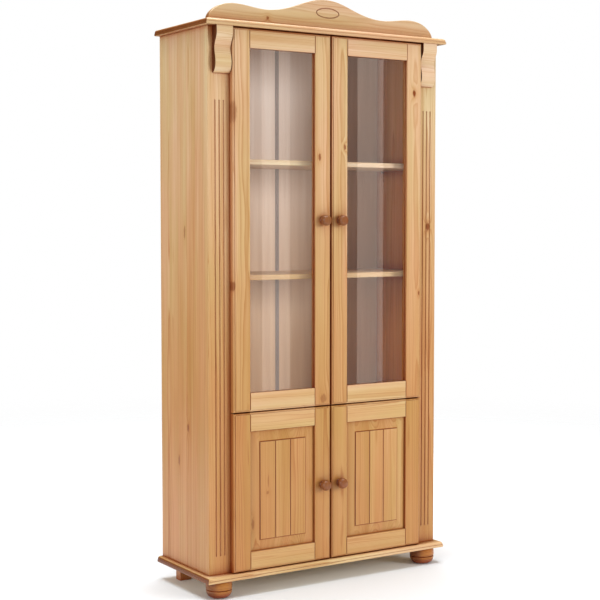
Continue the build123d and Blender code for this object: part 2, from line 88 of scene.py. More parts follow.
def put(tree, kind, values=None, **settings):
    made = tree.nodes.new(kind)
    for name, value in settings.items():
        setattr(made, name, value)
    plug(tree, made, values or {})
    return made


def result(tree, kind, values=None, **settings):
    return put(tree, kind, values, **settings).outputs[0]


def calc(tree, operation, *values, clamp=False):
    return result(tree, "ShaderNodeMath", dict(enumerate(values)), operation=operation, use_clamp=clamp)


def vectorCalc(tree, operation, *values):
    made = put(tree, "ShaderNodeVectorMath", dict(enumerate(values)), operation=operation)
    return made.outputs["Value" if operation in ("DOT_PRODUCT", "LENGTH") else "Vector"]


def mixColour(tree, share, first, second, blend="MIX"):
    made = put(tree, "ShaderNodeMix", {0: share, 6: first, 7: second}, data_type="RGBA", blend_type=blend)
    return made.outputs[2]


def mixValue(tree, share, first, second):
    return result(tree, "ShaderNodeMix", {0: share, 2: first, 3: second}, data_type="FLOAT")


# Stains a share of a colour with a tone
def tintShare(tree, share, colour, tone):
    return mixColour(tree, share, colour, mixColour(tree, 1.0, colour, tone, "MULTIPLY"))


def remap(tree, value, low, high, toLow=0.0, toHigh=1.0):
    ends = {"Value": value, "From Min": low, "From Max": high, "To Min": toLow, "To Max": toHigh}
    return result(tree, "ShaderNodeMapRange", ends, interpolation_type="SMOOTHSTEP")


noiseEnds = (-0.2, 0.2)


# A noise about nought as a share from 0 to 1
def shareOf(tree, noise):
    return remap(tree, noise, *noiseEnds)


def splitXyz(tree, vector):
    return put(tree, "ShaderNodeSeparateXYZ", {0: vector}).outputs


def objectPlace(tree):
    return tree.nodes.new("ShaderNodeTexCoord").outputs["Object"]


# Noise drawn out along the third axis, between about -0.5 and 0.5
def stretchNoise(tree, vector, scale, alongShare, seed, detail=2.0):
    squeezed = vectorCalc(tree, "MULTIPLY", vector, (1.0, 1.0, alongShare))
    cloud = {"Vector": squeezed, "W": seed, "Scale": scale, "Detail": detail}
    return calc(tree, "SUBTRACT", result(tree, "ShaderNodeTexNoise", cloud, noise_dimensions="4D"), 0.5)


def plainNoise(tree, vector, scale, detail=3.0):
    return result(tree, "ShaderNodeTexNoise", {"Vector": vector, "Scale": scale, "Detail": detail})


def newGroup(name, inputs, outputs, kind="Shader"):
    tree = bpy.data.node_groups.new(name, kind + "NodeTree")
    for label, socketKind, value in inputs:
        kindName = "NodeSocket" + socketKind
        socket = tree.interface.new_socket(name=label, in_out="INPUT", socket_type=kindName)
        if value is not None:
            socket.default_value = value
    for label, socketKind in outputs:
        tree.interface.new_socket(name=label, in_out="OUTPUT", socket_type="NodeSocket" + socketKind)
    return tree, tree.nodes.new("NodeGroupInput").outputs, tree.nodes.new("NodeGroupOutput").inputs


def fillGroup(tree, group, values):
    return put(tree, "ShaderNodeGroup", values, node_tree=group)


# A knot bends the rings round itself and darkens its core. Across and Along place it on the board's face.
knotShape = {"raggedNoise": (260.0, 0.4), "ragged": 1.4, "bend": 1.7, "bendFade": 0.16,
             "coreEdge": (1.35, 0.7)}


def makeKnotGroup():
    tree, given, out = newGroup(
        "knot",
        [("Vector", "Vector", None), ("Across", "Float", 0.0), ("Along", "Float", 0.0),
         ("Half Width", "Float", 0.006), ("Half Length", "Float", 0.012), ("Darkness", "Float", 1.0),
         ("Swirl", "Float", 0.0), ("Core", "Float", 0.0)],
        [("Swirl", "Float"), ("Core", "Float")])
    wobble = stretchNoise(tree, given["Vector"], *knotShape["raggedNoise"], 0.0, 3.0)
    parts = splitXyz(tree, given["Vector"])
    across = calc(tree, "DIVIDE", calc(tree, "SUBTRACT", parts[0], given["Across"]), given["Half Width"])
    along = calc(tree, "DIVIDE", calc(tree, "SUBTRACT", parts[2], given["Along"]), given["Half Length"])
    far = calc(tree, "ADD", calc(tree, "MULTIPLY", across, across), calc(tree, "MULTIPLY", along, along))
    fade = calc(tree, "EXPONENT", calc(tree, "MULTIPLY", far, -knotShape["bendFade"]))
    push = calc(tree, "MULTIPLY", fade, given["Darkness"])
    ragged = calc(tree, "MULTIPLY_ADD", wobble, knotShape["ragged"], calc(tree, "SQRT", far))
    core = calc(tree, "MULTIPLY", remap(tree, ragged, *knotShape["coreEdge"]), given["Darkness"])
    tree.links.new(calc(tree, "MULTIPLY_ADD", push, knotShape["bend"], given["Swirl"]), out["Swirl"])
    tree.links.new(calc(tree, "MAXIMUM", core, given["Core"]), out["Core"])
    return tree


# Pine: growth rings round a pith, glued staves, streaks, fibres, knots, end grain and a stain by depth.
# Each noise has its scale and how far it is drawn out along the grain.
pineGrain = {
    "wander": (9.0, 0.22), "ripple": (240.0, 0.05), "streak": (46.0, 0.03), "fibre": (1300.0, 0.015),
    "blotch": (8.0, 0.25), "hue": (17.0, 0.12), "hueSeedStep": 40.0, "staveSeedStep": 7.3,
    "rippleDepth": 0.0011, "lateRise": 2.2, "lateEnd": 0.88, "faintRing": 0.25, "pithScatter": (0.5, 0.75),
    "blotchCoats": 1.1, "fibreCoats": 0.5, "swirlCoats": 0.5, "sideTone": 0.12, "fibreRelief": 0.5,
    "endFacing": (0.5, 0.9), "sideFacing": (0.3, 0.75),
    "pinkHue": fromScreen(255, 248, 248), "greenHue": fromScreen(247, 252, 236),
    "roughness": 0.38, "fibreRoughness": 0.1, "lateRoughness": 0.12,
}


def makePineGroup():
    tree, given, out = newGroup(
        "pineFigure",
        [("Vector", "Vector", None), ("Normal", "Vector", None), ("Seed", "Float", 0.0),
         ("Pith", "Vector", (0.0, 0.06, 0.0)), ("Ring Gap", "Float", 0.0032), ("Ring Depth", "Float", 0.6),
         ("Lean", "Float", 0.012), ("Wander", "Float", 0.012), ("Stave Width", "Float", 9.0),
         ("Stave Shift", "Float", 0.0), ("Stave Tone", "Float", 0.0), ("Streaks", "Float", 0.5),
         ("Swirl", "Float", 0.0), ("Core", "Float", 0.0), ("Stain And Shade Depth", "Float", 1.0),
         ("End Stain", "Float", 2.0), ("Side Stain", "Float", 0.0),
         ("End Tone", "Color", fromScreen(205, 192, 182)), ("Early Wood", "Color", fromScreen(234, 221, 194)),
         ("Late Wood", "Color", fromScreen(203, 158, 110)), ("Knot Wood", "Color", fromScreen(150, 86, 40)),
         ("Stain", "Color", fromScreen(240, 223, 200))],
        [("Color", "Color"), ("Roughness", "Float"), ("Height", "Float")])
    parts = splitXyz(tree, given["Vector"])
    pith = splitXyz(tree, given["Pith"])
    stave = calc(tree, "DIVIDE", parts[0], given["Stave Width"])
    stave = calc(tree, "FLOOR", calc(tree, "ADD", stave, 0.5))
    staveKey = result(tree, "ShaderNodeCombineXYZ", {0: stave, 1: given["Seed"]})
    dice = put(tree, "ShaderNodeTexWhiteNoise", {"Vector": staveKey}, noise_dimensions="2D")
    dice = put(tree, "ShaderNodeSeparateColor", {0: dice.outputs["Color"]}).outputs
    local = calc(tree, "SUBTRACT", parts[0], calc(tree, "MULTIPLY", stave, given["Stave Width"]))
    seed = calc(tree, "MULTIPLY_ADD", stave, pineGrain["staveSeedStep"], given["Seed"])
    shift = calc(tree, "MULTIPLY", calc(tree, "SUBTRACT", dice[0], 0.5), given["Stave Shift"])
    wander = stretchNoise(tree, given["Vector"], *pineGrain["wander"], seed)
    wander = calc(tree, "MULTIPLY", wander, given["Wander"])
    ripple = stretchNoise(tree, given["Vector"], *pineGrain["ripple"], seed)
    ripple = calc(tree, "MULTIPLY", ripple, pineGrain["rippleDepth"])
    across = calc(tree, "SUBTRACT", local, calc(tree, "ADD", pith[0], shift))
    across = calc(tree, "MULTIPLY_ADD", parts[2], given["Lean"], across)
    deep = calc(tree, "MULTIPLY_ADD", dice[1], *pineGrain["pithScatter"])
    deep = calc(tree, "SUBTRACT", parts[1], calc(tree, "MULTIPLY", pith[1], deep))
    radius = calc(tree, "SQRT", calc(tree, "ADD", calc(tree, "MULTIPLY", across, across),
                                     calc(tree, "MULTIPLY", deep, deep)))
    radius = calc(tree, "ADD", radius, calc(tree, "ADD", wander, ripple))
    phase = calc(tree, "ADD", calc(tree, "DIVIDE", radius, given["Ring Gap"]), given["Swirl"])
    ringKey = calc(tree, "ADD", calc(tree, "FLOOR", phase), given["Seed"])
    ringDice = put(tree, "ShaderNodeTexWhiteNoise", {"W": ringKey}, noise_dimensions="1D").outputs["Value"]
    turn = calc(tree, "FRACT", phase)
    ringEnd = remap(tree, turn, 1.0, pineGrain["lateEnd"])
    late = calc(tree, "MULTIPLY", calc(tree, "POWER", turn, pineGrain["lateRise"]), ringEnd)
    late = calc(tree, "MULTIPLY", late, calc(tree, "ADD", ringDice, pineGrain["faintRing"]))
    late = calc(tree, "MULTIPLY", late, given["Ring Depth"], clamp=True)
    streak = stretchNoise(tree, given["Vector"], *pineGrain["streak"], seed, 3.0)
    fibre = stretchNoise(tree, given["Vector"], *pineGrain["fibre"], seed, 1.0)
    blotch = stretchNoise(tree, given["Vector"], *pineGrain["blotch"], seed, 3.0)
    hueSeed = calc(tree, "ADD", seed, pineGrain["hueSeedStep"])
    hue = stretchNoise(tree, given["Vector"], *pineGrain["hue"], hueSeed)
    hue = mixColour(tree, shareOf(tree, hue), pineGrain["pinkHue"], pineGrain["greenHue"])
    colour = mixColour(tree, late, given["Early Wood"], given["Late Wood"])
    colour = mixColour(tree, 1.0, colour, hue, "MULTIPLY")
    depth = calc(tree, "MULTIPLY", streak, given["Streaks"])
    depth = calc(tree, "MULTIPLY_ADD", blotch, pineGrain["blotchCoats"], depth)
    depth = calc(tree, "MULTIPLY_ADD", calc(tree, "SUBTRACT", dice[2], 0.5), given["Stave Tone"], depth)
    depth = calc(tree, "MULTIPLY_ADD", fibre, pineGrain["fibreCoats"], depth)
    depth = calc(tree, "MULTIPLY_ADD", given["Swirl"], pineGrain["swirlCoats"], depth)
    facing = splitXyz(tree, given["Normal"])
    endMask = remap(tree, calc(tree, "ABSOLUTE", facing[2]), *pineGrain["endFacing"])
    sideMask = remap(tree, calc(tree, "ABSOLUTE", facing[0]), *pineGrain["sideFacing"])
    toned = calc(tree, "MULTIPLY", given["Side Stain"], pineGrain["sideTone"])
    toned = calc(tree, "MULTIPLY", sideMask, toned)
    toned = calc(tree, "ADD", endMask, toned, clamp=True)
    depth = calc(tree, "MULTIPLY_ADD", endMask, given["End Stain"], depth)
    depth = calc(tree, "MULTIPLY_ADD", sideMask, given["Side Stain"], depth)
    depth = calc(tree, "MAXIMUM", calc(tree, "ADD", depth, given["Stain And Shade Depth"]), 0.0)
    colour = mixColour(tree, given["Core"], colour, given["Knot Wood"])
    colour = tintShare(tree, toned, colour, given["End Tone"])
    stain = result(tree, "ShaderNodeGamma", {"Color": given["Stain"], "Gamma": depth})
    tree.links.new(mixColour(tree, 1.0, colour, stain, "MULTIPLY"), out["Color"])
    rough = calc(tree, "MULTIPLY_ADD", fibre, pineGrain["fibreRoughness"], pineGrain["roughness"])
    tree.links.new(calc(tree, "MULTIPLY_ADD", late, pineGrain["lateRoughness"], rough), out["Roughness"])
    tree.links.new(calc(tree, "MULTIPLY_ADD", fibre, pineGrain["fibreRelief"], late), out["Height"])
    return tree


# Eases hard edges in the shading and marks them where the lacquer is rubbed lighter
rubBend = {"from": 0.02, "full": 0.25}


def makeEdgeGroup():
    tree, given, out = newGroup(
        "edgeEase", [("Color", "Color", None), ("Radius", "Float", 0.0012), ("Rub", "Float", 0.25),
                     ("Rub Colour", "Color", fromScreen(246, 218, 178))],
        [("Color", "Color"), ("Normal", "Vector")])
    eased = result(tree, "ShaderNodeBevel", {"Radius": given["Radius"]}, samples=4)
    trueNormal = tree.nodes.new("ShaderNodeNewGeometry").outputs["Normal"]
    bent = calc(tree, "SUBTRACT", 1.0, vectorCalc(tree, "DOT_PRODUCT", eased, trueNormal))
    edge = calc(tree, "MULTIPLY", remap(tree, bent, rubBend["from"], rubBend["full"]), given["Rub"])
    tree.links.new(mixColour(tree, edge, given["Color"], given["Rub Colour"]), out["Color"])
    tree.links.new(eased, out["Normal"])
    return tree


# Darkening by how open the place is: partly stain gathered in the cuts and joints and partly painted shade
# there, and painted shade in inner corners and beside proud parts
creviceShadeOpen = {"Shaded Cut": (0.96, 0.5), "Shaded Corner": (0.97, 0.4)}


def makeCreviceShadeGroup():
    tree, given, out = newGroup(
        "creviceStainAndShade",
        [("Color", "Color", None), ("Shaded Cut Reach", "Float", 0.0035), ("Shaded Cut Depth", "Float", 0.8),
         ("Shaded Corner Reach", "Float", 0.042), ("Shaded Corner Depth", "Float", 1.0),
         ("Shaded Cut Stain", "Color", fromScreen(200, 110, 30)),
         ("Shaded Corner Stain", "Color", fromScreen(196, 128, 74))],
        [("Color", "Color")])
    colour = given["Color"]
    # Each pass darkens by occlusion: the cuts with stain and painted shade, the corners with painted shade
    for label, (clear, full) in creviceShadeOpen.items():
        around = put(tree, "ShaderNodeAmbientOcclusion", {"Distance": given[label + " Reach"]}, samples=5)
        hidden = remap(tree, around.outputs["AO"], clear, full)
        hidden = calc(tree, "MULTIPLY", hidden, given[label + " Depth"])
        colour = tintShare(tree, hidden, colour, given[label + " Stain"])
    tree.links.new(colour, out["Color"])
    return tree


# Painted shadow line along the shoulder of a raised field, partly stain gathered there, given by half its
# width and half its length
shoulderLine = {"start": -0.0004, "full": 0.0001, "fading": 0.0008}


def makeShoulderShadowGroup():
    tree, given, out = newGroup(
        "shoulderShadowLine",
        [("Vector", "Vector", None), ("Half Across", "Float", 0.08), ("Half Along", "Float", 0.16),
         ("Reach", "Float", 0.004)],
        [("Mask", "Float")])
    parts = splitXyz(tree, given["Vector"])
    beside = calc(tree, "SUBTRACT", calc(tree, "ABSOLUTE", parts[0]), given["Half Across"])
    beyond = calc(tree, "SUBTRACT", calc(tree, "ABSOLUTE", parts[2]), given["Half Along"])
    off = calc(tree, "MAXIMUM", beside, beyond)
    outside = remap(tree, off, shoulderLine["start"], shoulderLine["full"])
    faded = remap(tree, off, given["Reach"], shoulderLine["fading"])
    tree.links.new(calc(tree, "MULTIPLY", outside, faded), out["Mask"])
    return tree


knotGroup = makeKnotGroup()
shoulderShadowGroup = makeShoulderShadowGroup()
pineGroup = makePineGroup()
edgeGroup = makeEdgeGroup()
creviceShadeGroup = makeCreviceShadeGroup()

# How a board lies: rows give its across, depth and grain directions
lays = {
    "upright": ((1, 0, 0), (0, 1, 0), (0, 0, 1)),
    "sideways": ((0, 1, 0), (-1, 0, 0), (0, 0, 1)),
    "rail": ((0, 0, 1), (0, -1, 0), (1, 0, 0)),
    "board": ((0, 1, 0), (0, 0, 1), (1, 0, 0)),
    "turned": ((0, 0, 1), (1, 0, 0), (0, 1, 0)),
}


def newMaterial(name):
    material = bpy.data.materials.new(name)
    material.use_nodes = True
    tree = material.node_tree
    tree.nodes.clear()
    shader = tree.nodes.new("ShaderNodeBsdfPrincipled")
    end = put(tree, "ShaderNodeOutputMaterial", {"Surface": shader.outputs[0]})
    return material, tree, shader, end


def addBump(tree, shader, height, strength, depth, **others):
    values = {"Height": height, "Strength": strength, "Distance": depth, **others}
    plug(tree, shader, {"Normal": result(tree, "ShaderNodeBump", values)})


def dress(nodeName, material):
    target = cadNodes[nodeName]
    target.data.materials.clear()
    target.data.materials.append(material)


# Painted light: the side panels' inner faces are tinted redder, and brighter low down, standing in for warm
# light bounced inside the cabinet
insideBounceLight = {"family": "side_panel", "tone": (1.25, 1.0, 0.86, 1.0), "lowBounceTone": (1.75, 1.56, 1.15, 1.0),
             "lowFrom": 1.05, "lowFull": 0.7}


def paintInsideBounce(tree, colour, place, centreX):
    inward = calc(tree, "MULTIPLY", splitXyz(tree, place["Normal"])[0], centreX)
    inward = calc(tree, "LESS_THAN", inward, -0.5 * abs(centreX))  # faces that look back to the middle
    height = splitXyz(tree, place["Object"])[2]
    lowPaintedShare = remap(tree, height, insideBounceLight["lowFrom"], insideBounceLight["lowFull"])
    tone = mixColour(tree, lowPaintedShare, insideBounceLight["tone"], insideBounceLight["lowBounceTone"])
    return tintShare(tree, inward, colour, tone)


# Painted shade: the colour is darker and warmer towards the floor, standing in for the dimmer, warmer light
# low down
lowShadeFall = {"from": 1.75, "to": 0.1, "extra": 2.1}
lacquer = {"Coat Weight": 0.18, "Coat Roughness": 0.28, "Specular IOR Level": 0.35}
grainRelief = (0.25, 0.0003)  # strength, depth
staveShift = 0.12  # how far the pith moves from stave to stave
# What a board has unless its family says otherwise. Its one stave is wider than any board, so it isn't glued.
plainBoard = {
    "stain": 1.0, "lowShade": 1.0, "endStain": 2.0, "sideStain": 0.0, "streaks": 2.2,
    "pithAcross": 0.0, "pithDeep": 0.05, "ringGap": 0.0032, "ringDepth": 0.8, "lean": 0.012, "wander": 0.012,
    "stave": 9.0, "staveTone": 0.0, "edge": 0.0012, "rub": 0.25, "cut": 0.0035, "cutDepth": 0.8,
    "corner": 1.0, "knots": (),
}


def pineMaterial(nodeName, family):
    board = {**plainBoard, **family}
    material, tree, shader, _ = newMaterial("pine_" + nodeName)
    low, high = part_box(nodeName)
    turn = Matrix(lays[board["lay"]])
    rotation = turn.to_euler()[:]
    centre = turn @ ((low + high) / 2)
    place = tree.nodes.new("ShaderNodeTexCoord").outputs
    mapped = result(tree, "ShaderNodeMapping", {"Vector": place["Object"], "Rotation": rotation})
    local = vectorCalc(tree, "SUBTRACT", mapped, centre[:])
    normal = result(tree, "ShaderNodeMapping", {"Vector": place["Normal"], "Rotation": rotation},
                    vector_type="VECTOR")
    # Coats of stain, plus painted shade that deepens towards the floor
    lowStainAndShade = board["stain"] + lowShadeFall["extra"] * board["lowShade"]
    stainAndShadeAt = remap(tree, splitXyz(tree, place["Object"])[2], lowShadeFall["from"], lowShadeFall["to"],
                    board["stain"], lowStainAndShade)
    swirl = 0.0
    core = 0.0
    for across, along, halfWidth, halfLength, darkness in board["knots"]:
        knot = fillGroup(tree, knotGroup, {
            "Vector": mapped, "Across": across, "Along": along, "Half Width": halfWidth,
            "Half Length": halfLength, "Darkness": darkness, "Swirl": swirl, "Core": core})
        swirl, core = knot.outputs
    # Painted shadow line, partly stain, round the raised field's shoulder
    if "shoulder" in board:
        halfAcross, reach, coats = board["shoulder"]
        halfAlong = (high.z - low.z) / 2 - ((high.x - low.x) / 2 - halfAcross)
        shoulder = fillGroup(tree, shoulderShadowGroup, {
            "Vector": local, "Half Across": halfAcross, "Half Along": halfAlong, "Reach": reach})
        stainAndShadeAt = calc(tree, "MULTIPLY_ADD", shoulder.outputs["Mask"], coats, stainAndShadeAt)
    wood = fillGroup(tree, pineGroup, {
        "Vector": local, "Normal": normal, "Seed": board["seed"],
        "Pith": (board["pithAcross"], board["pithDeep"], 0.0),
        "Ring Gap": board["ringGap"], "Ring Depth": board["ringDepth"],
        "Lean": board["lean"], "Wander": board["wander"], "Streaks": board["streaks"],
        "Stave Width": board["stave"], "Stave Shift": staveShift if "stave" in family else 0.0,
        "Stave Tone": board["staveTone"], "Swirl": swirl, "Core": core, "Stain And Shade Depth": stainAndShadeAt,
        "End Stain": board["endStain"], "Side Stain": board["sideStain"]})
    for label in ("Early Wood", "Late Wood", "End Tone"):
        if label in board:
            wood.inputs[label].default_value = board[label]
    colour = wood.outputs["Color"]
    # Painted bounce light on the inner faces of the side panels
    if nodeName.startswith(insideBounceLight["family"]):
        colour = paintInsideBounce(tree, colour, place, (low.x + high.x) / 2)
    edge = fillGroup(tree, edgeGroup, {"Color": colour, "Rub": board["rub"], "Radius": board["edge"]})
    # Painted shade in inner corners and beside proud parts, and stain with painted shade in the cuts
    stainedAndShaded = fillGroup(tree, creviceShadeGroup, {
        "Color": edge.outputs["Color"], "Shaded Cut Reach": board["cut"], "Shaded Cut Depth": board["cutDepth"],
        "Shaded Corner Depth": board["corner"]})
    addBump(tree, shader, wood.outputs["Height"], *grainRelief, Normal=edge.outputs["Normal"])
    plug(tree, shader, {"Base Color": stainedAndShaded.outputs["Color"], "Roughness": wood.outputs["Roughness"],
                        **lacquer})
    return material


upperEarlyWood = fromScreen(235, 217, 195)
gluedBoard = {"lay": "board", "stave": 0.11, "staveTone": 0.5, "pithDeep": 0.03}
gluedShelf = {"lay": "board", "stave": 0.07, "staveTone": 0.5}
looseShelf = {**gluedShelf, "stain": 0.4, "corner": 0.1, "Early Wood": upperEarlyWood}
wildRail = {"lay": "rail", "pithDeep": 0.03, "wander": 0.02}

# Boards, named without left and right. Lengths in metres, stain in coats.
families = {
    "side_panel": {"lay": "sideways", "stave": 0.058, "staveTone": 0.75, "ringDepth": 0.9, "stain": 1.1,
                   "Early Wood": fromScreen(234, 216, 195), "Late Wood": fromScreen(205, 151, 108)},
    "pilaster": {"lay": "upright", "pithAcross": 0.02, "lean": 0.02, "stain": 0.8, "lowShade": 1.2, "cut": 0.005,
                 "Early Wood": fromScreen(236, 221, 196)},
    "corbel": {"lay": "rail", "ringGap": 0.0022, "ringDepth": 0.7, "endStain": 3.3, "stain": 0.7,
               "Early Wood": upperEarlyWood, "End Tone": fromScreen(150, 132, 128)},
    "front_foot": {"lay": "rail", "pithAcross": 0.03, "pithDeep": 0.03, "ringGap": 0.0045, "ringDepth": 1.0,
                   "stain": 0.9, "lowShade": 0.5, "endStain": 0.3,
                   "Early Wood": fromScreen(204, 160, 88), "Late Wood": fromScreen(152, 94, 40)},
    "rear_foot": {"lay": "upright", "stain": 1.7},
    "top_board": {**gluedBoard, "stain": 1.4, "rub": 0.08, "endStain": 2.8,
                  "Early Wood": fromScreen(230, 210, 190), "End Tone": fromScreen(192, 172, 154)},
    "base_board": {**gluedBoard, "stain": 0.5, "lowShade": 0.4, "rub": 0.1, "endStain": 3.6,
                   "End Tone": fromScreen(184, 164, 152)},
    "crown_board": {"lay": "rail", "ringGap": 0.004, "wander": 0.02, "stain": 1.1,
                    "Early Wood": fromScreen(227, 214, 196), "Late Wood": fromScreen(198, 156, 116)},
    "fixed_shelf": gluedShelf,
    "front_top_rail": {"lay": "rail"},
    "cupboard_shelf": gluedShelf,
    "lower_shelf": looseShelf,
    "upper_shelf": looseShelf,
    "upper_meeting_stile": {"lay": "upright", "sideStain": 1.4, "Early Wood": upperEarlyWood},
    "upper_hinge_stile": {"lay": "upright", "sideStain": 0.5, "corner": 0.75, "Early Wood": upperEarlyWood},
    "lower_meeting_stile": {"lay": "upright", "sideStain": 0.8, "stain": 1.2, "cutDepth": 0.5, "corner": 0.7},
    "lower_hinge_stile": {"lay": "upright", "sideStain": 0.6, "stain": 1.5, "cutDepth": 0.6},
    "upper_top_rail": {"lay": "rail", "pithDeep": 0.025, "wander": 0.02,
                       "Early Wood": fromScreen(236, 215, 197), "Late Wood": fromScreen(206, 155, 109)},
    "upper_bottom_rail": {**wildRail, "stain": 0.45, "lowShade": 0.6, "Early Wood": upperEarlyWood},
    "lower_top_rail": {**wildRail, "stain": 0.65, "lowShade": 0.7},
    "lower_bottom_rail": {**wildRail, "stain": 0.75, "lowShade": 0.8, "cutDepth": 0.5, "corner": 0.6},
    "lower_raised_panel": {"lay": "upright", "stave": 0.056, "staveTone": 0.5, "endStain": 4.0,
                           "sideStain": 2.0, "cut": 0.004, "cutDepth": 0.4, "corner": 0.6,
                           "shoulder": (0.08395, 0.004, 5.0), "End Tone": fromScreen(160, 142, 134)},
    "upper_glazing_beads": {"lay": "upright"},
}
# Across, along, half width, half length and darkness of each knot
knotPlaces = {
    "side_panel_left": [(0.021, 1.135, 0.005, 0.02, 0.5), (0.004, 0.518, 0.005, 0.012, 0.7),
                        (0.065, 0.407, 0.005, 0.016, 0.6)],
    "upper_hinge_stile_left": [(-0.360, 1.503, 0.010, 0.030, 0.45), (-0.362, 0.969, 0.006, 0.014, 0.7)],
    "upper_meeting_stile_left": [(-0.045, 1.374, 0.005, 0.010, 0.8), (-0.030, 0.600, 0.011, 0.014, 0.45)],
    "upper_meeting_stile_right": [(0.052, 1.408, 0.004, 0.008, 0.8)],
    "upper_hinge_stile_right": [(0.332, 1.594, 0.006, 0.011, 1.0), (0.355, 0.929, 0.003, 0.006, 0.9)],
    "pilaster_right": [(0.408, 1.152, 0.007, 0.012, 0.9)],
    "lower_raised_panel_left": [(-0.240, 0.316, 0.005, 0.005, 0.4), (-0.238, 0.352, 0.002, 0.02, 0.45),
                                (-0.291, 0.222, 0.004, 0.016, 0.5)],
    "crown_board": [(1.802, -0.219, 0.005, 0.005, 0.8)],
}

seedRange = (1.0, 90.0)
pithRange = (-0.03, 0.03)
draw = random.Random(41)
for nodeName in sorted(cadNodes):
    family = nodeName
    for side in ("_left", "_right"):
        family = family.removesuffix(side)
    if family in families:
        board = dict(families[family], seed=draw.uniform(*seedRange), knots=knotPlaces.get(nodeName, ()))
        board.setdefault("pithAcross", draw.uniform(*pithRange))
        dress(nodeName, pineMaterial(nodeName, board))
print("pine: done")

# Knobs are turned and stained darker than the doors
knobFinish = {
    "lay": "turned", "ringGap": 0.0022, "ringDepth": 0.9, "pithDeep": 0.015, "rub": 0.0,
    "stain": 1.3, "lowShade": 0.4, "endStain": 0.0, "Early Wood": fromScreen(164, 116, 86),
    "Late Wood": fromScreen(110, 70, 46), "End Tone": fromScreen(255, 255, 255),
}
for level in ("upper", "lower"):
    for side in ("left", "right"):
        name = f"{level}_knob_{side}"
        dress(name, pineMaterial(name, dict(knobFinish, seed=draw.uniform(*seedRange))))
print("knobs: done")


# Glass that lets lamps and bounced light through
glassFinish = {"clear": (1.0, 1.0, 1.0, 1.0), "tinted": (0.98, 0.99, 0.985, 1.0), "cloudScale": 3.0,
               "refraction": 1.5}


def glassMaterial():
    material, tree, shader, end = newMaterial("clearGlass")
    cloud = plainNoise(tree, objectPlace(tree), glassFinish["cloudScale"])
    tint = mixColour(tree, cloud, glassFinish["clear"], glassFinish["tinted"])
    plug(tree, shader, {"Base Color": tint, "Roughness": 0.0, "IOR": glassFinish["refraction"],
                        "Transmission Weight": 1.0})
    ray = tree.nodes.new("ShaderNodeLightPath").outputs
    passing = calc(tree, "MAXIMUM", ray["Is Shadow Ray"], ray["Is Diffuse Ray"])
    through = tree.nodes.new("ShaderNodeBsdfTransparent").outputs[0]
    blend = result(tree, "ShaderNodeMixShader", {0: passing, 1: shader.outputs[0], 2: through})
    plug(tree, end, {"Surface": blend})
    return material


# Thin back: a pale grained face inside, with painted shade that makes it browner low down and towards the
# right, and bare hardboard outside.
# A noise has its scale, how far it is drawn out, its seed and its detail.
backFinish = {
    "face": fromScreen(250, 238, 229), "faceGrain": fromScreen(240, 224, 212),
    "grain": (60.0, 0.04, 5.0, 3.0), "rearFacing": (-0.2, 0.2),
    "faceLowShade": fromScreen(242, 220, 190), "lowFrom": 1.75, "lowFull": 0.6,
    "faceSideShade": fromScreen(211, 193, 178), "sideFrom": 0.16, "sideFull": 0.29, "sideFoot": (0.5, 1.1),
    "rear": fromScreen(150, 108, 72), "rearFleck": fromScreen(112, 76, 48), "fleckScale": 420.0,
    "fleckDetail": 4.0, "fleckEdge": (0.4, 0.65), "faceRoughness": 0.45, "rearRoughness": 0.85,
    "relief": (0.1, 0.0003),
}


def backMaterial():
    material, tree, shader, _ = newMaterial("thinBack")
    place = tree.nodes.new("ShaderNodeTexCoord").outputs
    behind = remap(tree, splitXyz(tree, place["Normal"])[1], *backFinish["rearFacing"])
    spot = splitXyz(tree, place["Object"])
    grain = stretchNoise(tree, place["Object"], *backFinish["grain"])
    face = mixColour(tree, shareOf(tree, grain), backFinish["face"], backFinish["faceGrain"])
    # Painted shade: browner low down
    lowPaintedShare = remap(tree, spot[2], backFinish["lowFrom"], backFinish["lowFull"])
    face = tintShare(tree, lowPaintedShare, face, backFinish["faceLowShade"])
    # Painted shade: browner towards the right, fading out towards the floor
    sideShadeShare = remap(tree, spot[0], backFinish["sideFrom"], backFinish["sideFull"])
    sideShadeShare = calc(tree, "MULTIPLY", sideShadeShare, remap(tree, spot[2], *backFinish["sideFoot"]))
    face = tintShare(tree, sideShadeShare, face, backFinish["faceSideShade"])
    fleck = plainNoise(tree, place["Object"], backFinish["fleckScale"], backFinish["fleckDetail"])
    flecked = remap(tree, fleck, *backFinish["fleckEdge"])
    rear = mixColour(tree, flecked, backFinish["rear"], backFinish["rearFleck"])
    rough = remap(tree, behind, 0.0, 1.0, backFinish["faceRoughness"], backFinish["rearRoughness"])
    plug(tree, shader, {"Base Color": mixColour(tree, behind, face, rear), "Roughness": rough})
    addBump(tree, shader, fleck, *backFinish["relief"])
    return material


stripFinish = {"tone": fromScreen(150, 134, 130), "worn": fromScreen(136, 120, 116),
               "cloud": (40.0, 0.1, 2.0), "smoothest": 0.35, "roughest": 0.5}


def stripMaterial():
    material, tree, shader, _ = newMaterial("jointStrip")
    cloud = stretchNoise(tree, objectPlace(tree), *stripFinish["cloud"])
    tone = mixColour(tree, shareOf(tree, cloud), stripFinish["tone"], stripFinish["worn"])
    rough = remap(tree, cloud, *noiseEnds, stripFinish["smoothest"], stripFinish["roughest"])
    plug(tree, shader, {"Base Color": tone, "Roughness": rough})
    return material


# Plated steel with a fine brushed grain and dull patches
steelGrain = {"stretch": 0.04, "patchScale": 90.0, "patchEdge": (0.35, 0.7), "smoothest": 0.2,
              "scratched": 0.2, "dulled": 0.2, "relief": (0.1, 0.0001)}


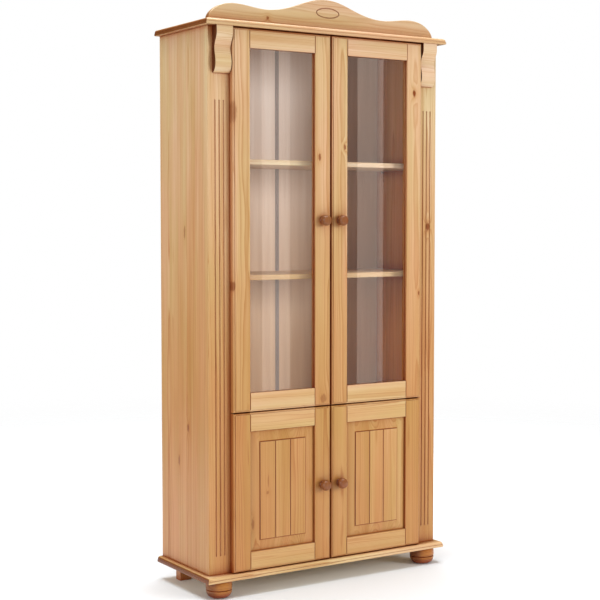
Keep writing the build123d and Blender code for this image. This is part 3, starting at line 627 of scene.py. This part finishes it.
def makeMetalGroup():
    tree, given, out = newGroup(
        "platedSteel",
        [("Vector", "Vector", None), ("Bright", "Color", None), ("Dull", "Color", None),
         ("Scratch Scale", "Float", 900.0)],
        [("Color", "Color"), ("Roughness", "Float"), ("Height", "Float")])
    scratch = stretchNoise(tree, given["Vector"], given["Scratch Scale"], steelGrain["stretch"], 1.0)
    patch = plainNoise(tree, given["Vector"], steelGrain["patchScale"])
    dulled = remap(tree, patch, *steelGrain["patchEdge"])
    tone = mixColour(tree, dulled, given["Bright"], given["Dull"])
    rough = calc(tree, "MULTIPLY_ADD", scratch, steelGrain["scratched"], steelGrain["smoothest"])
    rough = calc(tree, "MULTIPLY_ADD", patch, steelGrain["dulled"], rough)
    for label, value in (("Color", tone), ("Roughness", rough), ("Height", scratch)):
        tree.links.new(value, out[label])
    return tree


metalGroup = makeMetalGroup()
metalFinishes = {
    "hingeSteel": {"bright": fromScreen(196, 194, 188), "dull": fromScreen(160, 158, 152)},
    "screwSteel": {"bright": fromScreen(200, 196, 186), "dull": fromScreen(150, 146, 138)},
    "nailSteel": {"bright": fromScreen(150, 146, 140), "dull": fromScreen(108, 102, 96)},
}


def metalMaterial(name):
    material, tree, shader, _ = newMaterial(name)
    finish = metalFinishes[name]
    metal = fillGroup(tree, metalGroup, {
        "Vector": objectPlace(tree), "Bright": finish["bright"], "Dull": finish["dull"]}).outputs
    plug(tree, shader, {"Base Color": metal["Color"], "Roughness": metal["Roughness"], "Metallic": 1.0})
    addBump(tree, shader, metal["Height"], *steelGrain["relief"])
    return material


clearGlass = glassMaterial()
thinBack = backMaterial()
jointStrip = stripMaterial()
metals = {name: metalMaterial(name) for name in metalFinishes}
for nodeName in cadNodes:
    if "glass" in nodeName:
        dress(nodeName, clearGlass)
    elif "back_panel" in nodeName:
        dress(nodeName, thinBack)
    elif nodeName == "back_joint_strip":
        dress(nodeName, jointStrip)
    elif "hinge_cups" in nodeName or "hinge_arms" in nodeName:
        dress(nodeName, metals["hingeSteel"])
    elif "screw" in nodeName or nodeName == "shelf_pins":
        dress(nodeName, metals["screwSteel"])
print("glass, back and metal: done")


def finishTree(tree, copies, given, out):
    real = result(tree, "GeometryNodeRealizeInstances", {"Geometry": copies})
    done = result(tree, "GeometryNodeSetMaterial", {"Geometry": real, "Material": given["Finish"]})
    tree.links.new(done, out["Geometry"])
    return tree


# Copies a master piece onto points, turned to each point's own facing, with a random spin
def makeScatterTree():
    tree, given, out = newGroup(
        "scatterOnPoints",
        [("Geometry", "Geometry", None), ("Master", "Object", None), ("Size", "Float", 1.0),
         ("Size Spread", "Float", 0.04), ("Spin", "Float", 1.0), ("Seed", "Int", 3),
         ("Finish", "Material", None)],
        [("Geometry", "Geometry")], "Geometry")
    master = put(tree, "GeometryNodeObjectInfo", {"Object": given["Master"]}).outputs["Geometry"]
    facing = result(tree, "GeometryNodeInputNamedAttribute", {"Name": "facing"}, data_type="FLOAT_VECTOR")
    turn = result(tree, "FunctionNodeAlignRotationToVector", {"Vector": facing}, axis="Z")
    angle = put(tree, "FunctionNodeRandomValue", {2: 0.0, 3: given["Spin"], "Seed": given["Seed"]},
                data_type="FLOAT").outputs[1]
    about = result(tree, "ShaderNodeCombineXYZ", {2: angle})
    spun = result(tree, "FunctionNodeRotateRotation", {0: turn, 1: about}, rotation_space="LOCAL")
    least = calc(tree, "MULTIPLY", given["Size"], calc(tree, "SUBTRACT", 1.0, given["Size Spread"]))
    most = calc(tree, "MULTIPLY", given["Size"], calc(tree, "ADD", 1.0, given["Size Spread"]))
    size = put(tree, "FunctionNodeRandomValue", {2: least, 3: most, "Seed": given["Seed"]},
               data_type="FLOAT").outputs[1]
    copies = result(tree, "GeometryNodeInstanceOnPoints", {
        "Points": given["Geometry"], "Instance": master, "Rotation": spun, "Scale": size})
    return finishTree(tree, copies, given, out)


# Sets heads along an edge path at even steps, a little off line as by hand
def makeRowTree():
    tree, given, out = newGroup(
        "headsAlongPath",
        [("Geometry", "Geometry", None), ("Master", "Object", None), ("Step", "Float", 0.1),
         ("Off Line", "Float", 0.0006), ("Facing", "Vector", (0.0, 1.0, 0.0)), ("Seed", "Int", 5),
         ("Finish", "Material", None)],
        [("Geometry", "Geometry")], "Geometry")
    master = put(tree, "GeometryNodeObjectInfo", {"Object": given["Master"]}).outputs["Geometry"]
    path = result(tree, "GeometryNodeMeshToCurve", {"Mesh": given["Geometry"]})
    path = result(tree, "GeometryNodeResampleCurve", {"Curve": path, "Length": given["Step"]}, mode="LENGTH")
    drift = {0: (-1.0, 0.0, -1.0), 1: (1.0, 0.0, 1.0), "Seed": given["Seed"]}
    drift = result(tree, "FunctionNodeRandomValue", drift, data_type="FLOAT_VECTOR")
    drift = result(tree, "ShaderNodeVectorMath", {0: drift, "Scale": given["Off Line"]}, operation="SCALE")
    points = result(tree, "GeometryNodeCurveToPoints", {"Curve": path}, mode="EVALUATED")
    points = result(tree, "GeometryNodeSetPosition", {"Geometry": points, "Offset": drift})
    turn = result(tree, "FunctionNodeAlignRotationToVector", {"Vector": given["Facing"]}, axis="Z")
    copies = result(tree, "GeometryNodeInstanceOnPoints", {
        "Points": points, "Instance": master, "Rotation": turn})
    return finishTree(tree, copies, given, out)


def meshObject(name, corners, edges=(), faces=(), facings=None):
    data = bpy.data.meshes.new(name)
    data.from_pydata([tuple(c) for c in corners], list(edges), list(faces))
    if facings:
        data.attributes.new("facing", "FLOAT_VECTOR", "POINT").data.foreach_set(
            "vector", [value for facing in facings for value in facing])
    made = bpy.data.objects.new(name, data)
    bpy.context.scene.collection.objects.link(made)
    return made


# Runs a tree on a seed mesh and keeps the result as a plain mesh
def grow(name, seedObject, tree, values, body, replaced=()):
    modifier = seedObject.modifiers.new("grow", "NODES")
    modifier.node_group = tree
    for item in tree.interface.items_tree:
        if item.in_out == "INPUT" and item.name in values:
            modifier[item.identifier] = values[item.name]
    graph = bpy.context.evaluated_depsgraph_get()
    data = bpy.data.meshes.new_from_object(seedObject.evaluated_get(graph), depsgraph=graph)
    bpy.data.objects.remove(seedObject)
    data.name = name
    piece = bpy.data.objects.new(name, data)
    bpy.context.scene.collection.objects.link(piece)
    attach(piece, body)
    if replaced:
        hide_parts(*replaced)


# A mesh built by hand becomes the object that a tree copies
def masterObject(name, tool):
    data = bpy.data.meshes.new(name)
    tool.to_mesh(data)
    tool.free()
    return bpy.data.objects.new(name, data)


# A screw standing on its seat: a low domed head with a cross recess, and a short shank behind it
screwDome = ((0.62, 0.80), (0.86, 0.52), (1.0, 0.12))  # share of the radius, share of the height
shankSides = 8


def screwMaster(name, setup):
    radius, height = setup["radius"], setup["height"]
    arm = setup["slot"] / 2
    floor = height - setup["sink"]
    shankRadius, shankLength = setup["shank"]
    tool = bmesh.new()
    rings = []
    for share, rise in screwDome:
        reach = radius * share
        half = asin(arm / reach)
        third = (pi / 2 - 2 * half) / 3
        angles = [q * pi / 2 + t for q in range(4) for t in (-half, half, half + third, half + 2 * third)]
        rings.append([tool.verts.new((reach * cos(t), reach * sin(t), height * rise)) for t in angles])
    rings.append([tool.verts.new((v.co.x, v.co.y, 0.0)) for v in rings[-1]])
    top = rings[0]
    count = len(top)
    for inner, outer in zip(rings, rings[1:]):
        for i in range(count):
            j = (i + 1) % count
            tool.faces.new((inner[i], outer[i], outer[j], inner[j]))
    inside = ((1, -1), (1, 1), (-1, 1), (-1, -1))
    corners = [tool.verts.new((arm * x, arm * y, height)) for x, y in inside]
    lowCorners = [tool.verts.new((v.co.x, v.co.y, floor)) for v in corners]
    tool.faces.new(lowCorners)
    for q in range(4):
        first, second = top[4 * q], top[4 * q + 1]
        lowFirst, lowSecond = (tool.verts.new((v.co.x, v.co.y, floor)) for v in (first, second))
        near, far = corners[q], corners[(q + 1) % 4]
        lowNear, lowFar = lowCorners[q], lowCorners[(q + 1) % 4]
        tool.faces.new((lowNear, lowFirst, lowSecond, lowFar))
        tool.faces.new((near, first, lowFirst, lowNear))
        tool.faces.new((lowFar, lowSecond, second, far))
        tool.faces.new((lowFirst, first, second, lowSecond))
        tool.faces.new((far, second, top[4 * q + 2], top[4 * q + 3], top[(4 * q + 4) % count]))
    turns = [2 * pi * i / shankSides for i in range(shankSides)]
    neck = [tool.verts.new((shankRadius * cos(t), shankRadius * sin(t), 0.0)) for t in turns]
    tip = [tool.verts.new((v.co.x, v.co.y, -shankLength)) for v in neck]
    for i in range(shankSides):
        j = (i + 1) % shankSides
        tool.faces.new((neck[i], tip[i], tip[j], neck[j]))
    tool.faces.new(list(reversed(tip)))
    bmesh.ops.recalc_face_normals(tool, faces=tool.faces)
    return masterObject(name, tool)


# A nail or pin head: a flat-topped dome
headDome = ((1.0, 0.0), (0.94, 0.55), (0.6, 0.95))  # share of the radius, share of the height


def headMaster(name, setup):
    radius, height, sides = setup["radius"], setup["height"], setup["sides"]
    tool = bmesh.new()
    turns = [2 * pi * i / sides for i in range(sides)]
    rings = []
    for share, rise in headDome:
        reach = radius * share
        rings.append([tool.verts.new((reach * cos(t), reach * sin(t), height * rise)) for t in turns])
    crown = tool.verts.new((0.0, 0.0, height))
    for lower, upper in zip(rings, rings[1:]):
        for i in range(sides):
            j = (i + 1) % sides
            tool.faces.new((lower[i], lower[j], upper[j], upper[i]))
    for i in range(sides):
        tool.faces.new((rings[-1][i], rings[-1][(i + 1) % sides], crown))
    tool.faces.new(list(reversed(rings[0])))
    return masterObject(name, tool)


scatterTree = makeScatterTree()
rowTree = makeRowTree()

# Hinge screws: heads on the arm plates, on the inner edge of each pilaster
hingeScrews = {
    "screw": {"radius": 0.0032, "height": 0.0015, "slot": 0.0009, "sink": 0.0008, "shank": (0.0015, 0.014)},
    "plateX": 0.3425, "y": -0.1214, "pairSpread": 0.015, "spin": 1.5, "seed": 4,
    "hingeHeights": (0.155, 0.49395, 0.67645, 1.167975, 1.6595),
}


def addHingeScrews():
    spots = []
    facings = []
    for side in (-1, 1):
        for hingeHeight in hingeScrews["hingeHeights"]:
            for step in (-1, 1):
                height = hingeHeight + step * hingeScrews["pairSpread"]
                spots.append((side * hingeScrews["plateX"], hingeScrews["y"], height))
                facings.append((-side, 0.0, 0.0))
    master = screwMaster("hingeScrewMaster", hingeScrews["screw"])
    grow("hingeScrewSet", meshObject("hingeScrewSpots", spots, facings=facings), scatterTree,
         {"Master": master, "Size Spread": 0.0, "Spin": hingeScrews["spin"], "Seed": hingeScrews["seed"],
          "Finish": metals["screwSteel"]}, "carcass", ("hinge_screws",))


# Knob screws: one through each meeting stile, its head on the inside
knobScrews = {
    "screw": {"radius": 0.0042, "height": 0.0024, "slot": 0.0012, "sink": 0.0012, "shank": (0.0019, 0.0334)},
    "backY": -0.1321, "spin": 1.5,
}


def addKnobScrews():
    master = screwMaster("knobScrewMaster", knobScrews["screw"])
    for level in ("upper", "lower"):
        for side in ("left", "right"):
            node = f"{level}_knob_screw_{side}"
            low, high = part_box(node)
            spot = ((low.x + high.x) / 2, knobScrews["backY"], (low.z + high.z) / 2)
            spots = meshObject("knobScrewSpot", [spot], facings=[(0.0, 1.0, 0.0)])
            grow(f"{level}KnobScrew_{side}", spots, scatterTree,
                 {"Master": master, "Size Spread": 0.0, "Spin": knobScrews["spin"], "Seed": len(node),
                  "Finish": metals["screwSteel"]}, f"{level}_{side}_door", (node,))


# Nails that hold the thin back: down both sides and along the fixed shelf
backNails = {
    "head": {"radius": 0.003, "height": 0.0008, "sides": 12}, "offLine": 0.0012, "seed": 7, "step": 0.11,
    "sideX": 0.4252, "y": 0.1839, "bottom": 0.095, "top": 1.745, "shelfHeight": 0.5752, "endGap": 0.03,
}


def addBackNails():
    x, y = backNails["sideX"], backNails["y"]
    bottom, top, shelf = backNails["bottom"], backNails["top"], backNails["shelfHeight"]
    gap = backNails["endGap"]
    corners = [(-x, y, bottom), (-x, y, top), (x, y, bottom), (x, y, top),
               (gap - x, y, shelf), (-gap, y, shelf), (gap, y, shelf), (x - gap, y, shelf)]
    rows = meshObject("nailRows", corners, [(0, 1), (2, 3), (4, 5), (6, 7)])
    grow("backNailSet", rows, rowTree,
         {"Master": headMaster("nailMaster", backNails["head"]), "Step": backNails["step"],
          "Off Line": backNails["offLine"], "Seed": backNails["seed"], "Finish": metals["nailSteel"]},
         "carcass")


# Pins that hold the glazing beads, round the back of each pane
beadPins = {
    "head": {"radius": 0.0009, "height": 0.0004, "sides": 8}, "offLine": 0.0003, "seed": 9, "step": 0.115,
    "inset": 0.004, "y": -0.1321, "cornerGap": 0.03,
}


def addBeadPins():
    master = headMaster("pinMaster", beadPins["head"])
    gap = beadPins["cornerGap"]
    for side in ("left", "right"):
        low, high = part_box(f"upper_glazing_beads_{side}")
        x0, x1 = low.x + beadPins["inset"], high.x - beadPins["inset"]
        z0, z1 = low.z + beadPins["inset"], high.z - beadPins["inset"]
        corners = [(x0 + gap, z0), (x1 - gap, z0), (x1, z0 + gap), (x1, z1 - gap),
                   (x1 - gap, z1), (x0 + gap, z1), (x0, z1 - gap), (x0, z0 + gap)]
        rows = [(x, beadPins["y"], z) for x, z in corners]
        rows = meshObject("pinRows", rows, [(0, 1), (2, 3), (4, 5), (6, 7)])
        grow(f"beadPinSet_{side}", rows, rowTree,
             {"Master": master, "Step": beadPins["step"], "Off Line": beadPins["offLine"],
              "Seed": beadPins["seed"], "Finish": metals["nailSteel"]},
             f"upper_{side}_door")


addHingeScrews()
addKnobScrews()
addBackNails()
addBeadPins()
print("screws, nails and pins: done")


def addArea(name, setup):
    data = bpy.data.lights.new(name, "AREA")
    data.shape = "RECTANGLE"
    data.size, data.size_y = setup["size"]
    data.energy = setup["watts"]
    data.color = setup["tint"]
    lamp = bpy.data.objects.new(name, data)
    lamp.location = setup["place"]
    towards = Vector(setup["aim"]) - Vector(setup["place"])
    lamp.rotation_euler = towards.to_track_quat("-Z", "Y").to_euler()
    lamp.visible_camera = False
    lamp.visible_glossy = lamp.visible_transmission = setup.get("mirrored", True)
    bpy.context.scene.collection.objects.link(lamp)


def addWorld():
    world = bpy.data.worlds.new("studio")
    bpy.context.scene.world = world
    world.use_nodes = True
    tree = world.node_tree
    tree.nodes.clear()
    ray = tree.nodes.new("ShaderNodeLightPath").outputs
    seen = calc(tree, "MAXIMUM", ray["Is Camera Ray"], ray["Is Transmission Ray"])
    power = mixValue(tree, ray["Is Glossy Ray"], worldSetup["lighting"], worldSetup["mirrored"])
    power = mixValue(tree, seen, power, worldSetup["seen"])
    tone = mixColour(tree, seen, worldSetup["warmth"], (1.0, 1.0, 1.0, 1.0))
    sky = put(tree, "ShaderNodeBackground", {"Color": tone, "Strength": power})
    put(tree, "ShaderNodeOutputWorld", {"Surface": sky.outputs[0]})


def addFloor():
    reach = floorSetup["radius"]
    around = ((-reach, -reach), (reach, -reach), (reach, reach), (-reach, reach))
    corners = [(x, y, -floorSetup["drop"]) for x, y in around]
    floor = meshObject("floor", corners, faces=[(0, 1, 2, 3)])
    material, tree, shader, end = newMaterial("paleFloor")
    far = vectorCalc(tree, "LENGTH", objectPlace(tree))
    fade = remap(tree, far, floorSetup["plainRadius"], floorSetup["fadeRadius"])
    plug(tree, shader, {"Base Color": floorSetup["tone"], "Roughness": floorSetup["roughness"],
                        "Specular IOR Level": floorSetup["gloss"]})
    through = tree.nodes.new("ShaderNodeBsdfTransparent").outputs[0]
    blend = result(tree, "ShaderNodeMixShader", {0: fade, 1: shader.outputs[0], 2: through})
    plug(tree, end, {"Surface": blend})
    floor.data.materials.append(material)


def addCamera():
    data = bpy.data.cameras.new("photoCamera")
    data.lens = cameraSetup["lens"]
    data.sensor_width = cameraSetup["sensorWidth"]
    camera = bpy.data.objects.new("photoCamera", data)
    camera.location = cameraSetup["place"]
    tilt = radians(90 - cameraSetup["dipDegrees"])
    camera.rotation_euler = (tilt, 0, radians(cameraSetup["turnDegrees"]))
    bpy.context.scene.collection.objects.link(camera)
    bpy.context.scene.camera = camera


for name, setup in lightSetup.items():
    addArea(name, setup)
addWorld()
addFloor()
addCamera()
bpy.context.scene.view_settings.view_transform = "Standard"
print("light and camera: done")
